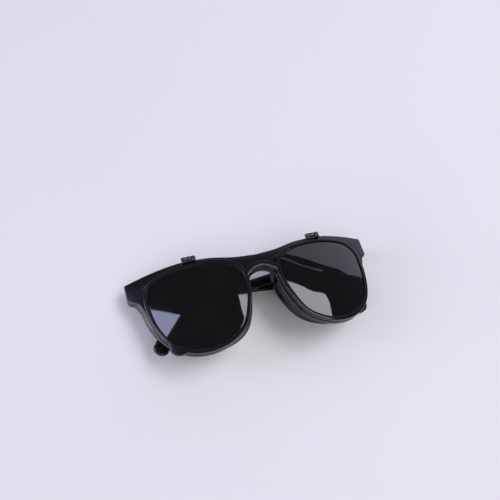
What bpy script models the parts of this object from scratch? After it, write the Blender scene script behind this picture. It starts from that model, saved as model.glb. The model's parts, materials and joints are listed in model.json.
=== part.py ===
"""Flip-up welding goggles, folded and lying front-up on their temples.

World axes: +X runs along the front towards the wearer's left, +Y towards the brow, +Z up and
out of the front. Outlines are drawn in the plane of the front, as x across and v up from the
top corner of the end pieces. Depth counts backwards from the crest of the flip-up front.
"""
import math

import bmesh
import bpy
import numpy as np
from mathutils import Matrix, Vector

MM = 0.001

# ---- driving dimensions, in millimetres -------------------------------------------------
front_width = 145.2          # across the two end pieces
wrap_radius = 156.0          # the front is bent around this radius
lens_width = 52.0            # one eye opening, across
lens_height = 46.7           # one eye opening, up and down
bridge_gap = 20.8            # between the two eye openings
lens_drop = 25.45            # from the top corners down to the middle of the openings

flip_rim = 2.1               # face of the flip-up rim around the lens
flip_thickness = 2.6
flip_arch_top = 8.8          # below the top corners, at the middle
flip_arch_height = 3.2
flip_arch_fall_top = 3.5     # how far the arch falls from its crest to the rim
flip_arch_fall_bottom = 5.3
thumb_tab_reach = 2.6        # how far the tab stands out of the rim
thumb_tab_angle = 312.0      # around the opening from the temple side, upwards
thumb_tab_half_span = 12.0
dark_lens_thickness = 1.1

rim_side = 4.2               # main rim on the temple side
rim_side_taper = 0.65        # share of that width lost towards the bottom
rim_bottom = 2.1             # main rim under the lens
rim_nose = 2.8               # main rim on the nose side
frame_thickness = 3.9
clear_lens_thickness = 1.6
nose_arch_crest = 12.4       # below the top corners
brow_centre = 3.1            # the brow's dip at the bridge, below the top corners
brow_crest = 3.3             # the brow's rise over the lenses, above the top corners
end_piece_drop = 8.7         # lower corner of the end piece, below the top corner
end_arm_thickness = 3.8      # the end piece's arm back to the temple
hinge_set_back = 1.6065      # from the back of the front's ends to the temple hinge axis
hinge_inset = 5.6            # from the outer side of the arm in to the hinge axis

nose_pad_depth = 6.0         # how far the moulded nose pads stand behind the front
nose_pad_flare = 1.7         # how far they spread towards their back edge
nose_pad_span = (142.0, 256.0)  # degrees around the opening from the temple side
nose_pad_lead = 0.68         # below one, they stand out most above the middle of their span
nose_pad_back_share = 0.55   # width of their back edge, as a share of the rim they stand on

temple_length = 141.5        # along its centre line, from the butt to the tip
temple_butt_height = 9.4
temple_waist_share = 0.52    # the temple is thinnest from here to its bend, as a share of its length
temple_waist_height = 6.0
temple_tip_height = 8.6
temple_butt_thickness = 3.8
temple_waist_thickness = 2.7
temple_tip_thickness = 3.6
temple_edge_share = 0.34     # rounding of the long edges, as a share of the thickness
temple_slope = 6.5           # degrees that the temple falls towards its bend
temple_square_end = 8.0      # its section stands square at the butt, and leans with the slope after this
temple_bend_share = 0.698    # where the temple starts to bend, as a share of its length
temple_bend_run = 24.0
temple_hook_angle = 53.0     # degrees below the front's own level
left_over_fold = 3.6        # degrees past square; the left temple folds in first

knuckle_radius = 1.4
knuckle_height = 2.5         # one knuckle of a temple hinge
screw_radius = 0.6
screw_head_radius = 1.1
screw_head_height = 0.6
leaf_thickness = 1.1
leaf_length = 5.6            # the leaf on the temple

flip_hinge_x = 36.8          # middle of each flip hinge from the middle of the front
flip_knuckle_radius = 1.35
flip_knuckle_width = 2.3
flip_web_depth = 1.8         # the webs that join the moving knuckles to their bar
flip_axis_rise = 2.6         # hinge line above the top corners
flip_axis_depth = 4.5        # hinge line behind the crest of the front
flip_pin_radius = 0.6

layer_gap = 0.4              # between the flip-up front and the main front
fit_gap = 0.3                # between pieces that touch
groove_bite = 0.8            # how far a lens edge reaches into its rim
bore_gap = 0.25              # between a pin and its bore
joint_step = 0.1             # keeps two joined bodies from sharing a plane

# ---- values that follow ------------------------------------------------------------------
half_width = front_width / 2
lens_x = (bridge_gap + lens_width) / 2
front_depth = flip_thickness + layer_gap
back_depth = front_depth + frame_thickness
hinge_depth = back_depth + half_width ** 2 / (2 * wrap_radius) + hinge_set_back
bend_start = temple_length * temple_bend_share
hinge_x = half_width - hinge_inset
arm_inner = half_width - end_arm_thickness
total_depth = hinge_depth + hinge_inset

opening_steps = 56
brow_steps = 18
arch_steps = 6
round_steps = 16
sharp_angle = 40.0           # edges that turn by more than this stay crisp
slice_width = 7.0            # the bent fronts are made of flats this wide

# The opening's shape, as shares of its half width and half height, nose side negative.
opening_shape = [
    (1.00, 0.33), (0.98, 0.67), (0.78, 0.905), (0.02, 1.0), (-0.68, 0.85), (-0.93, 0.67), (-1.0, 0.33),
    (-0.90, -0.22), (-0.67, -0.71), (-0.22, -0.98), (0.27, -0.96), (0.68, -0.67), (0.91, -0.20),
]

# The brow, as shares of the front's half width and of the rise from its dip to its crest.
brow_shape = [(0.0, 0.0), (0.165, 0.19), (0.358, 0.70), (0.579, 1.0), (0.80, 0.92), (1.0, 0.69)]
corner_rise = brow_shape[-1][1] * (brow_crest + brow_centre) - brow_centre
end_piece_middle = (corner_rise - end_piece_drop) / 2

# The end piece's lower corner, as steps inwards and down.
end_corner = [(0.2, 0.0), (1.6, 1.9), (3.6, 3.3)]

# Where the outlines meet the rims, in degrees around the opening from the temple side.
end_angle = 14.0
arch_angle = 166.0
flip_arch_angles = (154.0, 165.0)
flip_arch_shares = (0.0, 0.28, 0.54, 0.78)

# ---- outlines ----------------------------------------------------------------------------
def spline(points, steps, closed):
    """Points of a centripetal curve through the given points, with a share of the steps to each span."""
    pts = [np.array(p, float) for p in points]
    count = len(pts)
    if closed:
        chain = [pts[-1]] + pts + pts[:2]
        spans = count
    else:
        chain = [2 * pts[0] - pts[1]] + pts + [2 * pts[-1] - pts[-2]]
        spans = count - 1
    lengths = [np.linalg.norm(chain[i + 2] - chain[i + 1]) for i in range(spans)]
    total = sum(lengths)
    edges = np.concatenate([[0.0], np.cumsum(lengths)]) / total
    out = []
    samples = steps if closed else steps + 1
    for k in range(samples):
        share = k / steps
        i = min(int(np.searchsorted(edges, share, side="right")) - 1, spans - 1)
        t = (share - edges[i]) / (edges[i + 1] - edges[i])
        p0, p1, p2, p3 = chain[i:i + 4]
        d1 = max(np.linalg.norm(p1 - p0), 1e-9) ** 0.5
        d2 = max(np.linalg.norm(p2 - p1), 1e-9) ** 0.5
        d3 = max(np.linalg.norm(p3 - p2), 1e-9) ** 0.5
        m1 = (p1 - p0) / d1 - (p2 - p0) / (d1 + d2) + (p2 - p1) / d2
        m2 = (p2 - p1) / d2 - (p3 - p1) / (d2 + d3) + (p3 - p2) / d3
        a = 2 * p1 - 2 * p2 + d2 * (m1 + m2)
        b = -3 * p1 + 3 * p2 - d2 * (2 * m1 + m2)
        out.append(((a * t + b) * t + d2 * m1) * t + p1)
    return np.array(out)


def opening_loop(side, reach):
    """The eye opening moved outwards by reach(nx, nv, angle), anticlockwise seen on the wearer's left."""
    centre = np.array([lens_x, -lens_drop])
    size = np.array([lens_width / 2, lens_height / 2])
    loop = spline([np.array(p) * size for p in opening_shape], opening_steps, True)
    step = np.roll(loop, -1, axis=0) - np.roll(loop, 1, axis=0)
    normal = np.stack([step[:, 1], -step[:, 0]], axis=1)
    normal /= np.linalg.norm(normal, axis=1)[:, None]
    angle = np.degrees(np.arctan2(loop[:, 1], loop[:, 0])) % 360
    moved = [p + n * reach(n[0], n[1], a) for p, n, a in zip(loop, normal, angle)]
    return np.array([((centre[0] + p[0]) * side, centre[1] + p[1]) for p in moved])


def even(width):
    """A reach that is the same all round."""
    return lambda nx, nv, angle: width


def flip_reach(side):
    """The flip-up rim's width, with the thumb tab on the wearer's right."""
    def reach(nx, nv, angle):
        offset = abs((angle - thumb_tab_angle + 180) % 360 - 180)
        if side > 0 or offset >= thumb_tab_half_span:
            return flip_rim
        return flip_rim + thumb_tab_reach * math.cos(offset / thumb_tab_half_span * math.pi / 2) ** 0.5
    return reach


def frame_reach(nx, nv, angle):
    """The main rim's width: thin underneath, wide towards the temple and the nose."""
    sideways = rim_side * (1 + rim_side_taper * min(nv, 0.0)) if nx > 0 else rim_nose
    return rim_bottom * nv * nv + sideways * nx * nx


def loop_part(loop, side, first, last):
    """The points of a rim's loop from one angle clockwise to another, seen on the wearer's left."""
    centre = np.array([lens_x * side, -lens_drop])
    picked = []
    for p in loop:
        d = p - centre
        angle = math.degrees(math.atan2(d[1], d[0] * side))
        turn = (first - angle) % 360
        if turn <= (first - last) % 360:
            picked.append((turn, p))
    return [p for turn, p in sorted(picked, key=lambda item: item[0])]


def flip_half(side):
    """Half the flip-up outline, from the top of the arch round the rim to the underside of the arch."""
    loop = opening_loop(side, flip_reach(side))
    rim = loop_part(loop, side, *flip_arch_angles)
    reach = abs(rim[0][0])
    underside = flip_arch_top + flip_arch_height
    top = [(side * reach * s, -flip_arch_top - flip_arch_fall_top * s * s) for s in flip_arch_shares]
    low = [(side * reach * s, -underside - flip_arch_fall_bottom * s * s) for s in flip_arch_shares]
    return top + [tuple(p) for p in rim] + low[::-1]


def brow_level(share):
    """A height on the brow, by its share of the rise from the dip to the crest."""
    return share * (brow_crest + brow_centre) - brow_centre


def frame_half(side):
    """Half the main outline, from the brow's middle out to the end piece and back under the lens."""
    brow = [(half_width * across, brow_level(share)) for across, share in brow_shape]
    top = [(x * side, v) for x, v in spline(brow, brow_steps, False)]
    end = [((half_width - inwards) * side, -end_piece_drop - down) for inwards, down in end_corner]
    rim = [tuple(p) for p in loop_part(opening_loop(side, frame_reach), side, end_angle, arch_angle)]
    last = rim[-1]
    arch = []
    for k in range(1, arch_steps + 1):
        turn = math.pi / 2 * k / arch_steps
        arch.append((last[0] * math.cos(turn), last[1] + (-nose_arch_crest - last[1]) * math.sin(turn)))
    return top + end + rim + arch


def whole(half):
    """Both halves of an outline as one loop."""
    left = half(1)
    right = half(-1)
    return left + right[::-1][1:-1]


# ---- mesh helpers ------------------------------------------------------------------------
def material(name, colour, roughness, metallic, transmission=0.0):
    made = bpy.data.materials.new(name)
    made.use_nodes = True
    shader = made.node_tree.nodes["Principled BSDF"]
    shader.inputs["Base Color"].default_value = (*colour, 1.0)
    shader.inputs["Roughness"].default_value = roughness
    shader.inputs["Metallic"].default_value = metallic
    shader.inputs["Transmission Weight"].default_value = transmission
    return made


def new_object(name, bm, parent, finish, location=(0, 0, 0)):
    """Turn a mesh in millimetres into a named object in metres."""
    bmesh.ops.scale(bm, vec=(MM, MM, MM), verts=bm.verts)
    mesh = bpy.data.meshes.new(name)
    bm.to_mesh(mesh)
    bm.free()
    smooth_round_faces(mesh)
    made = bpy.data.objects.new(name, mesh)
    bpy.context.scene.collection.objects.link(made)
    made.parent = parent
    made.location = Vector(location) * MM
    if finish is None:
        made.hide_render = True
        made.display_type = "WIRE"
    else:
        mesh.materials.append(finish)
    return made


def empty(name, location, parent=None):
    made = bpy.data.objects.new(name, None)
    bpy.context.scene.collection.objects.link(made)
    made.parent = parent
    made.location = Vector(location) * MM
    return made


def bent_plate(outer, holes, near, far):
    """A plate between two depths, cut to its outline, sliced across and bent around the wrap radius."""
    bm = bmesh.new()
    for loop in [outer] + list(holes):
        verts = [bm.verts.new((p[0], p[1], 0)) for p in loop]
        for a, b in zip(verts, verts[1:] + verts[:1]):
            bm.edges.new((a, b))
    if holes:
        bmesh.ops.triangle_fill(bm, use_beauty=True, edges=bm.edges[:], normal=(0, 0, 1))
    else:
        bmesh.ops.contextual_create(bm, geom=bm.edges[:])
    reach = int(max(abs(p[0]) for p in outer) // slice_width)
    for k in range(-reach, reach + 1):
        cut = (k * slice_width + 0.37, 0, 0)
        bmesh.ops.bisect_plane(bm, geom=bm.verts[:] + bm.edges[:] + bm.faces[:], dist=1e-4,
                               plane_co=cut, plane_no=(1, 0, 0))
    for face in bm.faces:
        if face.normal.z < 0:
            face.normal_flip()
    top = bm.faces[:]
    made = bmesh.ops.extrude_face_region(bm, geom=top)
    lower = [v for v in made["geom"] if isinstance(v, bmesh.types.BMVert)]
    upper = [v for v in bm.verts if v not in set(lower)]
    for v in upper:
        v.co.z = crown(v.co.x, near)
    for v in lower:
        v.co.z = crown(v.co.x, far)
    bmesh.ops.recalc_face_normals(bm, faces=bm.faces[:])
    return bm


def crown(x, depth):
    """Height of the bent front at a place across it, at a depth behind the crest."""
    return total_depth - depth - x * x / (2 * wrap_radius)


def block(size, centre):
    bm = bmesh.new()
    bmesh.ops.create_cube(bm, size=1.0)
    bmesh.ops.scale(bm, vec=size, verts=bm.verts)
    bmesh.ops.translate(bm, vec=centre, verts=bm.verts)
    return bm


def rod(radius, length, centre, axis):
    """A round bar along X or Y."""
    bm = bmesh.new()
    turn = Matrix.Rotation(math.pi / 2, 4, "Y" if axis == "X" else "X")
    bmesh.ops.create_cone(bm, cap_ends=True, segments=round_steps, radius1=radius, radius2=radius,
                          depth=length, matrix=Matrix.Translation(centre) @ turn)
    return bm


def smooth_round_faces(mesh):
    """Shade a mesh smooth, keeping its sharp corners."""
    mesh.shade_smooth()
    mesh.set_sharp_from_angle(angle=math.radians(sharp_angle))


def combine(name, target, parts, operation, parent, location):
    """Join or cut a piece with others that are then only guides."""
    for k, bm in enumerate(parts):
        guide = new_object(f"{name}_{operation.lower()}_{k}", bm, parent, None, location)
        step = target.modifiers.new(f"{operation.lower()}_{k}", "BOOLEAN")
        step.operation = operation
        step.solver = "EXACT"
        step.object = guide


# ---- the two fronts ----------------------------------------------------------------------
def groove(side, near, far):
    return bent_plate(opening_loop(side, even(groove_bite + fit_gap)), [], near - fit_gap, far + fit_gap)


def lens(side, near, far):
    return bent_plate(opening_loop(side, even(groove_bite)), [], near, far)


def nose_pad(side):
    """The moulded pad behind the nose side of the rim: a wall that swells and sinks again along it."""
    centre = np.array([lens_x * side, -lens_drop])
    inner = opening_loop(side, even(2 * fit_gap))
    outer = opening_loop(side, frame_reach)
    first, last = nose_pad_span
    bm = bmesh.new()
    rings = []
    for near, far in zip(inner, outer):
        turn = math.degrees(math.atan2(near[1] - centre[1], (near[0] - centre[0]) * side)) % 360
        if not first < turn < last:
            continue
        swell = math.sin(math.pi * ((turn - first) / (last - first)) ** nose_pad_lead)
        rim = far - near
        outwards = rim / np.linalg.norm(rim)
        root_depth = back_depth - 2 * fit_gap
        rise = fit_gap + nose_pad_depth * swell
        edge = far - outwards * 2 * joint_step
        back = edge + outwards * nose_pad_flare * swell
        ring = [(near, root_depth), (edge, root_depth),
                (edge + outwards * nose_pad_flare * swell * 0.2, root_depth + rise * 0.4),
                (back, root_depth + rise * 0.85), (back - rim * 0.2, root_depth + rise),
                (back - rim * nose_pad_back_share, root_depth + rise), (near, root_depth + rise * 0.6)]
        rings.append([bm.verts.new((p[0], p[1], crown(p[0], depth))) for p, depth in ring])
    for a, b in zip(rings, rings[1:]):
        for k in range(len(a)):
            n = (k + 1) % len(a)
            bm.faces.new((a[k], a[n], b[n], b[k]))
    bm.faces.new(rings[0])
    bm.faces.new(rings[-1])
    bmesh.ops.recalc_face_normals(bm, faces=bm.faces[:])
    return bm


def end_arm(side):
    """The arm from the corner of the front back to the temple."""
    near = total_depth - crown(half_width, front_depth) + 5 * joint_step
    far = hinge_depth - fit_gap / 2
    size = (end_arm_thickness - joint_step, end_piece_drop + corner_rise - 3 * joint_step, far - near)
    centre = ((arm_inner + end_arm_thickness / 2) * side, end_piece_middle, total_depth - (near + far) / 2)
    return block(size, centre)


def make_front(root, finishes):
    openings = [opening_loop(side, even(fit_gap)) for side in (1, -1)]
    plate = bent_plate(whole(frame_half), openings, front_depth, back_depth)
    frame = new_object("front_frame", plate, root, finishes["frame"])
    added = [nose_pad(1), nose_pad(-1), end_arm(1), end_arm(-1)]
    combine("front_frame", frame, added, "UNION", root, (0, 0, 0))
    middle = (front_depth + back_depth) / 2
    near = middle - clear_lens_thickness / 2
    far = middle + clear_lens_thickness / 2
    grooves = [groove(side, near, far) for side in (1, -1)]
    combine("front_frame", frame, grooves, "DIFFERENCE", root, (0, 0, 0))
    for side, word in ((1, "left"), (-1, "right")):
        new_object(f"clear_lens_{word}", lens(side, near, far), root, finishes["clear"])


def make_flip_front(hinge, finishes):
    back = (0, -flip_axis_rise, -(total_depth - flip_axis_depth))
    openings = [opening_loop(side, even(0.0)) for side in (1, -1)]
    frame = new_object("flip_frame", bent_plate(whole(flip_half), openings, 0, flip_thickness), hinge,
                       finishes["frame"], back)
    middle = flip_thickness / 2
    near = middle - dark_lens_thickness / 2
    far = middle + dark_lens_thickness / 2
    combine("flip_frame", frame, [groove(side, near, far) for side in (1, -1)], "DIFFERENCE", hinge, back)
    for side, word in ((1, "left"), (-1, "right")):
        new_object(f"dark_lens_{word}", lens(side, near, far), hinge, finishes["dark"], back)


# ---- flip hinges -------------------------------------------------------------------------
def hinge_base(side):
    """The foot that carries the fixed knuckle, standing on the front of the brow."""
    inner_edge = flip_hinge_x - flip_knuckle_width / 2
    foot_back = total_depth - crown(inner_edge, front_depth) - fit_gap
    foot_height = 2 * flip_knuckle_radius - 4 * joint_step
    size = (flip_knuckle_width - joint_step, foot_height, foot_back - flip_axis_depth)
    return block(size, (flip_hinge_x * side, flip_axis_rise, total_depth - (foot_back + flip_axis_depth) / 2))


def yoke_seat(side):
    """The bar of the moving yoke, on the top edge of the flip-up rim and under the knuckles."""
    width = 3 * flip_knuckle_width + 2 * fit_gap
    rim_top = lens_height / 2 - lens_drop + flip_rim
    low = rim_top + fit_gap - flip_axis_rise
    high = -flip_knuckle_radius - fit_gap
    front = flip_knuckle_radius + joint_step
    inner_edge = flip_hinge_x - width / 2
    back = flip_axis_depth - (total_depth - crown(inner_edge, front_depth) - 2 * fit_gap)
    centre = (flip_hinge_x * side, (low + high) / 2, (front + back) / 2)
    return block((width, high - low, front - back), centre)


def make_flip_hinges(root, hinge, finishes):
    height = total_depth - flip_axis_depth
    span = flip_knuckle_width + fit_gap
    for side, word in ((1, "left"), (-1, "right")):
        x = flip_hinge_x * side
        base = new_object(f"flip_hinge_base_{word}",
                          rod(flip_knuckle_radius, flip_knuckle_width, (x, flip_axis_rise, height), "X"),
                          root, finishes["metal"])
        combine(base.name, base, [hinge_base(side)], "UNION", root, (0, 0, 0))
        bore = rod(flip_pin_radius + bore_gap, 2 * flip_knuckle_width, (x, flip_axis_rise, height), "X")
        combine(base.name, base, [bore], "DIFFERENCE", root, (0, 0, 0))

        yoke = new_object(f"flip_hinge_yoke_{word}", yoke_seat(side), hinge, finishes["metal"])
        ears = []
        for ear in (-1, 1):
            place = (x + ear * span, 0, 0)
            ears.append(rod(flip_knuckle_radius, flip_knuckle_width, place, "X"))
            web_height = flip_knuckle_radius + fit_gap + 4 * joint_step
            web_size = (flip_knuckle_width - joint_step, web_height, flip_web_depth)
            ears.append(block(web_size, (place[0], -web_height / 2, joint_step)))
        combine(yoke.name, yoke, ears, "UNION", hinge, (0, 0, 0))
        bore = rod(flip_pin_radius + bore_gap, 4 * flip_knuckle_width, (x, 0, 0), "X")
        combine(yoke.name, yoke, [bore], "DIFFERENCE", hinge, (0, 0, 0))

        pin_length = 3 * flip_knuckle_width + 4 * fit_gap
        pin = rod(flip_pin_radius, pin_length, (x, flip_axis_rise, height), "X")
        new_object(f"flip_hinge_pin_{word}", pin, root, finishes["metal"])


# ---- temples and their hinges ------------------------------------------------------------
def temple_path(along):
    """Place and heading of the temple's centre line: straight down its slope, then round the bend."""
    slope = math.radians(temple_slope)
    hook = math.radians(temple_hook_angle)
    steps = 96
    u = 0.0
    v = 0.0
    heading = slope
    for k in range(steps):
        s = along * (k + 0.5) / steps
        share = min(max((s - bend_start) / temple_bend_run, 0.0), 1.0)
        heading = slope + (hook - slope) * share * share * (3 - 2 * share)
        u += along / steps * math.cos(heading)
        v -= along / steps * math.sin(heading)
    return u, v, heading


def blend(points, s):
    """Smooth value through (place, value) pairs."""
    for (s0, a), (s1, b) in zip(points, points[1:]):
        if s <= s1:
            t = (s - s0) / (s1 - s0)
            return a + (b - a) * t * t * (3 - 2 * t)
    return points[-1][1]


def temple_mesh(side):
    """The temple opened out: a flat outer face, a rounded inner one, and a round tip."""
    bm = bmesh.new()
    waist = temple_length * temple_waist_share
    places = (0, waist, bend_start, temple_length)
    high = (temple_butt_height, temple_waist_height, temple_waist_height, temple_tip_height)
    thick = (temple_butt_thickness, temple_waist_thickness, temple_waist_thickness, temple_tip_thickness)
    heights = list(zip(places, high))
    widths = list(zip(places, thick))
    tip_start = temple_length - temple_tip_height * 0.55
    stations = [temple_length * k / 26 for k in range(27) if temple_length * k / 26 < tip_start - 2]
    stations += [tip_start + (temple_length - tip_start) * math.sin(math.radians(a)) for a in (0, 30, 55, 75)]
    rings = []
    for s in stations:
        u, v, heading = temple_path(s)
        lean = heading * min(s / temple_square_end, 1.0)
        end = max(s - tip_start, 0.0) / (temple_length - tip_start)
        shrink = math.sqrt(max(1 - end * end, 0.0))
        h = blend(heights, s) * shrink / 2
        t = blend(widths, s)
        soft = min(temple_edge_share * t, 0.6 * h)
        thin = t * (0.55 + 0.45 * shrink)
        outline = [(0, -h + soft), (0, h - soft), (soft * 0.3, h - soft * 0.3), (soft, h),
                   (thin - soft, h), (thin - soft * 0.3, h - soft * 0.3), (thin, h - soft), (thin, -h + soft),
                   (thin - soft * 0.3, -h + soft * 0.3), (thin - soft, -h), (soft, -h),
                   (soft * 0.3, -h + soft * 0.3)]
        ring = []
        for inward, up in outline:
            x = (hinge_inset - inward) * side
            y = end_piece_middle + v + up * math.cos(lean)
            z = -(fit_gap / 2 + u + up * math.sin(lean))
            ring.append(bm.verts.new((x, y, z)))
        rings.append(ring)
    for a, b in zip(rings, rings[1:]):
        for k in range(len(a)):
            n = (k + 1) % len(a)
            bm.faces.new((a[k], a[n], b[n], b[k]))
    bm.faces.new(rings[0])
    bm.faces.new(rings[-1])
    bmesh.ops.recalc_face_normals(bm, faces=bm.faces[:])
    return bm


def leaf_plate(side, middle, height, length, forwards):
    """The flat of a hinge leaf against the inner side of the arm or the temple, away from the axis."""
    x = (hinge_inset - end_arm_thickness - fit_gap - leaf_thickness / 2) * side
    return block((leaf_thickness, height, length), (x, middle, forwards * (length / 2 - 2 * joint_step)))


def make_temple(side, word, root, finishes):
    fold = 90.0 + (left_over_fold if side > 0 else 0.0)
    axis_place = (hinge_x * side, 0, total_depth - hinge_depth)
    pivot = empty(f"temple_{word}_pivot", axis_place, root)
    pivot.rotation_euler = (0, math.radians(fold) * side, 0)
    new_object(f"temple_{word}", temple_mesh(side), pivot, finishes["frame"])

    middle = end_piece_middle
    pitch = knuckle_height + fit_gap
    bore = screw_radius + bore_gap
    front = new_object(f"front_leaf_{word}", rod(knuckle_radius, knuckle_height, (0, middle, 0), "Y"), root,
                       finishes["metal"], axis_place)
    room = hinge_depth - (total_depth - crown(arm_inner, back_depth)) - fit_gap
    plate = leaf_plate(side, middle, knuckle_height - joint_step, room, 1)
    combine(front.name, front, [plate], "UNION", root, axis_place)
    combine(front.name, front, [rod(bore, 3 * knuckle_height, (0, middle, 0), "Y")], "DIFFERENCE", root,
            axis_place)

    reach = 3 * knuckle_height + 2 * fit_gap
    plate = leaf_plate(side, middle, reach - 2 * joint_step, leaf_length, -1)
    back = new_object(f"temple_leaf_{word}", plate, pivot, finishes["metal"])
    slot_size = (4 * knuckle_radius, knuckle_height + 2 * fit_gap, 2 * knuckle_radius + 2 * fit_gap)
    combine(back.name, back, [block(slot_size, (0, middle, 0))], "DIFFERENCE", pivot, (0, 0, 0))
    ears = [rod(knuckle_radius, knuckle_height, (0, middle + ear * pitch, 0), "Y") for ear in (-1, 1)]
    combine(back.name, back, ears, "UNION", pivot, (0, 0, 0))
    through = rod(bore, 4 * knuckle_height, (0, middle, 0), "Y")
    combine(back.name, back, [through], "DIFFERENCE", pivot, (0, 0, 0))

    shank_length = reach + 4 * joint_step
    head_place = middle + (shank_length + screw_head_height - joint_step) / 2
    screw = new_object(f"hinge_screw_{word}", rod(screw_radius, shank_length, (0, middle, 0), "Y"), root,
                       finishes["metal"], axis_place)
    head = rod(screw_head_radius, screw_head_height, (0, head_place, 0), "Y")
    combine(screw.name, screw, [head], "UNION", root, axis_place)


# ---- the whole ---------------------------------------------------------------------------
def clear_scene():
    for old in list(bpy.data.objects):
        bpy.data.objects.remove(old, do_unlink=True)


def centre_on_origin(root):
    """Put the middle of the piece's footprint over the origin."""
    bpy.context.view_layer.update()
    depsgraph = bpy.context.evaluated_depsgraph_get()
    low = [math.inf, math.inf]
    high = [-math.inf, -math.inf]
    for piece in bpy.data.objects:
        if piece.type != "MESH" or piece.hide_render:
            continue
        shown = piece.evaluated_get(depsgraph)
        for vertex in shown.data.vertices:
            place = piece.matrix_world @ vertex.co
            for k in (0, 1):
                low[k] = min(low[k], place[k])
                high[k] = max(high[k], place[k])
    root.location.x -= (low[0] + high[0]) / 2
    root.location.y -= (low[1] + high[1]) / 2


def main():
    clear_scene()
    finishes = {
        "frame": material("black_plastic", (0.012, 0.012, 0.014), 0.32, 0.0),
        "dark": material("dark_filter", (0.004, 0.004, 0.005), 0.06, 0.0),
        "clear": material("clear_lens", (0.9, 0.92, 0.92), 0.05, 0.0, 0.9),
        "metal": material("dark_steel", (0.20, 0.20, 0.21), 0.35, 1.0),
    }
    root = empty("lying_pose", (0, 0, 0))
    make_front(root, finishes)
    flip_pivot = empty("flip_pivot", (0, flip_axis_rise, total_depth - flip_axis_depth), root)
    make_flip_front(flip_pivot, finishes)
    make_flip_hinges(root, flip_pivot, finishes)
    for side, word in ((1, "left"), (-1, "right")):
        make_temple(side, word, root, finishes)
    centre_on_origin(root)


main()
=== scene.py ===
"""Looks of the flip-up welding goggles: moulded fronts, lenses, temples, hinges and the studio.

The flat layout of the fronts is in millimetres, as x across and v up from the top corners of the
end pieces. Depth counts backwards from the crest of the flip-up front. Finished meshes are in
metres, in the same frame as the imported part.
"""
import json
import logging
import math
from collections.abc import Sequence
from dataclasses import dataclass, field
from enum import Enum

import bmesh
import bpy
import numpy as np
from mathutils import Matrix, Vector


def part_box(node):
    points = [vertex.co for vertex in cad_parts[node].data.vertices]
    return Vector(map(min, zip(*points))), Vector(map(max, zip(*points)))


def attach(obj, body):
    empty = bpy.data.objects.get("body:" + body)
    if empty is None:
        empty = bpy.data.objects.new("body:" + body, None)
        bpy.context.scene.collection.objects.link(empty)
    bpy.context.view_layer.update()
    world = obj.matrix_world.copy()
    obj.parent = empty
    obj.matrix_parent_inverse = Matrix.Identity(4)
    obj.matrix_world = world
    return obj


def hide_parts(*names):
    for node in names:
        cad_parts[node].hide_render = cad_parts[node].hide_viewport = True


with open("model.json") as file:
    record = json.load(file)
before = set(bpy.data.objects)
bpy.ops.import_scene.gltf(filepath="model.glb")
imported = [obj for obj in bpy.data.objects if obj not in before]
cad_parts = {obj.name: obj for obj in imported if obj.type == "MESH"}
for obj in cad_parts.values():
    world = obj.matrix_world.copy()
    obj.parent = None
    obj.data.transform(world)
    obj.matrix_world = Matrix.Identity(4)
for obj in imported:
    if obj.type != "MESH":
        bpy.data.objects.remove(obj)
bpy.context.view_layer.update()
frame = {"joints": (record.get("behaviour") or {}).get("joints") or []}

LOG = logging.getLogger("goggles")
MM = 0.001
WEAR = "edge_wear"
SAME_PLACE = 1e-7  # metres; points nearer than this are one
Colour = tuple[float, float, float]
Point = tuple[float, float, float]
Outline = tuple[tuple[float, float], ...]
Socket = bpy.types.NodeSocket


class Side(Enum):
    """The wearer's left is at +X and the wearer's right at -X."""

    LEFT = 1
    RIGHT = -1

    @property
    def word(self) -> str:
        """The side's name as pieces use it."""
        return self.name.lower()


# ---- curves ------------------------------------------------------------------------------
def curve_through(points: np.ndarray, count: int, closed: bool) -> np.ndarray:
    """Samples of a centripetal curve through the points.

    Each span between two points is a cubic whose end slopes come from the four points around
    it, weighted by the square roots of their distances. Samples are spread by chord length.

    Args:
        points: The points to pass through, one per row.
        count: How many samples to give.
        closed: Whether the last point joins the first.

    Returns:
        The samples, one per row. An open curve includes both of its ends.
    """
    points = np.asarray(points, float)
    if closed:
        chain = np.concatenate([points[-1:], points, points[:2]])
    else:
        chain = np.concatenate([[2 * points[0] - points[1]], points, [2 * points[-1] - points[-2]]])
    steps = np.maximum(np.linalg.norm(np.diff(chain, axis=0), axis=1), 1e-9)
    spans = len(chain) - 3
    edges = np.concatenate([[0.0], np.cumsum(steps[1:-1])]) / steps[1:-1].sum()
    share = np.arange(count) / (count if closed else count - 1)
    span = np.clip(np.searchsorted(edges, share, side="right") - 1, 0, spans - 1)
    t = ((share - edges[span]) / (edges[span + 1] - edges[span]))[:, None]
    p0, p1, p2, p3 = (chain[span + k] for k in range(4))
    d1, d2, d3 = (np.sqrt(steps[span + k])[:, None] for k in range(3))
    m1 = (p1 - p0) / d1 - (p2 - p0) / (d1 + d2) + (p2 - p1) / d2
    m2 = (p2 - p1) / d2 - (p3 - p1) / (d2 + d3) + (p3 - p2) / d3
    a = 2 * p1 - 2 * p2 + d2 * (m1 + m2)
    b = -3 * p1 + 3 * p2 - d2 * (2 * m1 + m2)
    return ((a * t + b) * t + d2 * m1) * t + p1


def right_hand_normals(loop: np.ndarray) -> np.ndarray:
    """Unit normals of a closed loop, on the right of the way it runs.

    Args:
        loop: Points in order, one per row.

    Returns:
        One normal per point, from the step between its two neighbours.
    """
    step = np.roll(loop, -1, axis=0) - np.roll(loop, 1, axis=0)
    normal = np.stack([step[:, 1], -step[:, 0]], axis=1)
    return normal / np.maximum(np.linalg.norm(normal, axis=1), 1e-12)[:, None]


def quarter(count: int) -> np.ndarray:
    """Angles of a quarter turn, from nothing to a right angle."""
    return np.linspace(0.0, math.pi / 2, count)


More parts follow.
